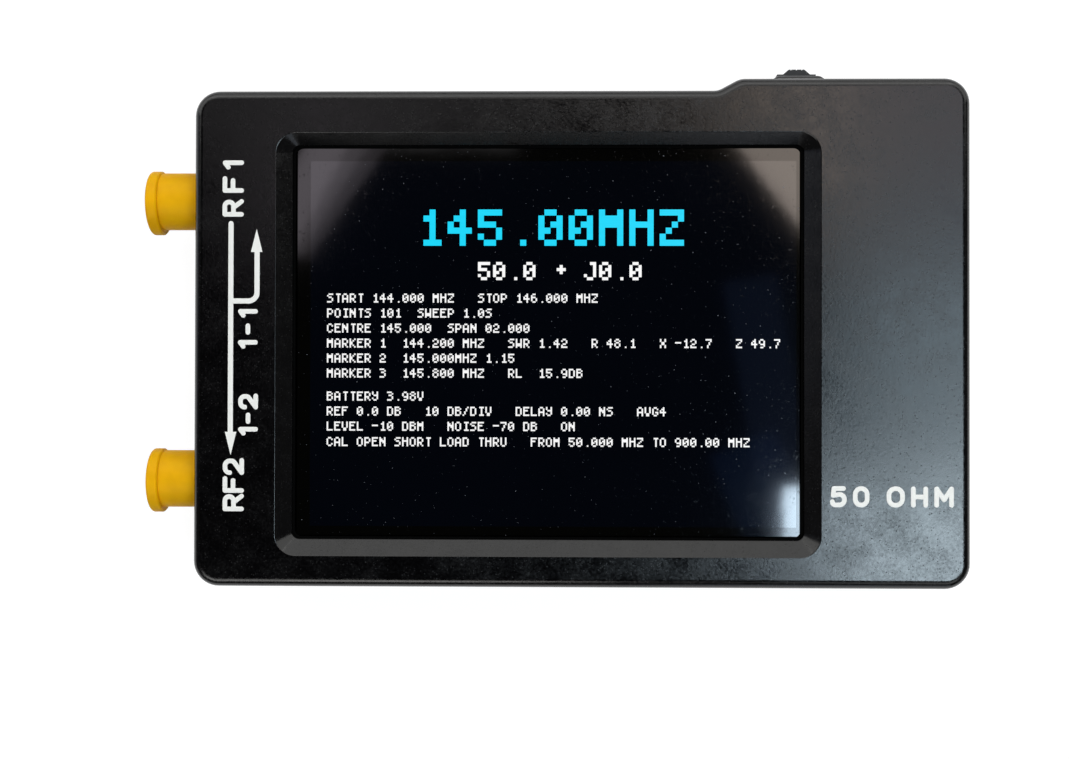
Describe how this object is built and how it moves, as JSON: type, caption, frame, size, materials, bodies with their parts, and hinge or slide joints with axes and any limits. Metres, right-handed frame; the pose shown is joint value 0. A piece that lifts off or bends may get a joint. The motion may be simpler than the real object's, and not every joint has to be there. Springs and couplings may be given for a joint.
{
  "type": "antenna analyzer",
  "caption": "Hand-held antenna analyzer with a recessed touch display, push-on dust caps on its coaxial jacks, a jog lever and a slide power switch.",
  "frame": {"origin": "middle of the flat back face of the case, left of the raised step measured across its height", "axes": "+X towards the end with the USB socket, away from the coaxial jacks; +Y towards the edge with the jog lever; +Z out of the display"},
  "size_m": [0.0982, 0.0627, 0.016],
  "materials": {
    "case_plastic": "fine-textured black ABS moulding",
    "screw_steel": "black-zinc pan-head screws",
    "board": "black solder mask on glass-fibre board",
    "screen_glass": "resistive touch panel over the display",
    "cell_glass": "liquid crystal cell",
    "white_plastic": "white moulded plastic",
    "foam": "adhesive foam",
    "ribbon": "polyimide ribbon",
    "gold_brass": "gold-plated brass",
    "insulator": "white PTFE",
    "tin_steel": "tinned sheet steel",
    "black_plastic": "moulded package or housing",
    "lever_plastic": "grained black plastic",
    "foil": "aluminium laminate pouch",
    "red_lead": "silicone insulation",
    "black_lead": "silicone insulation",
    "light_lens": "clear light-emitting diodes",
    "ceramic_chip": "chip capacitors and resistors",
    "cap_vinyl": "soft yellow vinyl"
  },
  "bodies": {
    "housing": {"front_cover": "case_plastic", "back_cover": "case_plastic", "case_screws": "screw_steel", "main_board": "board", "touch_panel": "screen_glass", "display_gasket": "foam", "display_frame": "white_plastic", "display_cell": "cell_glass", "display_tape": "foam", "display_ribbon": "ribbon", "rf_jack_1": "gold_brass", "rf_insulator_1": "insulator", "rf_contact_1": "gold_brass", "rf_jack_2": "gold_brass", "rf_insulator_2": "insulator", "rf_contact_2": "gold_brass", "usb_shell": "tin_steel", "usb_tongue": "black_plastic", "jog_housing": "black_plastic", "jog_cover": "tin_steel", "jog_dome": "tin_steel", "jog_terminals": "tin_steel", "power_frame": "tin_steel", "power_terminals": "tin_steel", "battery_cell": "foil", "battery_pad": "foam", "battery_lead_red": "red_lead", "battery_lead_black": "black_lead", "battery_socket": "white_plastic", "battery_plug": "white_plastic", "shield_can_1": "tin_steel", "shield_can_2": "tin_steel", "mixer_chips": "black_plastic", "microcontroller": "black_plastic", "clock_chip": "black_plastic", "codec_chip": "black_plastic", "crystals": "tin_steel", "charger_chip": "black_plastic", "status_lights": "light_lens", "board_passives": "ceramic_chip"},
    "upper_cap": {"dust_cap_1": "cap_vinyl"},
    "lower_cap": {"dust_cap_2": "cap_vinyl"},
    "jog_slider": {"jog_carriage": "black_plastic"},
    "jog_stick": {"jog_lever": "lever_plastic"},
    "power_slider": {"power_knob": "lever_plastic"}
  },
  "joints": [
    {"name": "dust_cap_1_pull", "type": "slide", "parent": "housing", "child": "upper_cap", "axis": [-1, 0, 0], "range_m": [0, 0.03]},
    {"name": "dust_cap_2_pull", "type": "slide", "parent": "housing", "child": "lower_cap", "axis": [-1, 0, 0], "range_m": [0, 0.03]},
    {"name": "jog_push", "type": "slide", "parent": "housing", "child": "jog_slider", "axis": [0, -1, 0], "range_m": [0, 0.00035], "stiffness_N_per_m": 1000},
    {"name": "jog_tilt", "type": "hinge", "parent": "jog_slider", "child": "jog_stick", "pos_m": [0.0266, 0.0253, 0.00675], "axis": [0, 0, 1], "range_deg": [-10, 10], "stiffness_Nm_per_rad": 0.02},
    {"name": "power_slide", "type": "slide", "parent": "housing", "child": "power_slider", "axis": [1, 0, 0], "range_m": [0, 0.0015]}
  ]
}
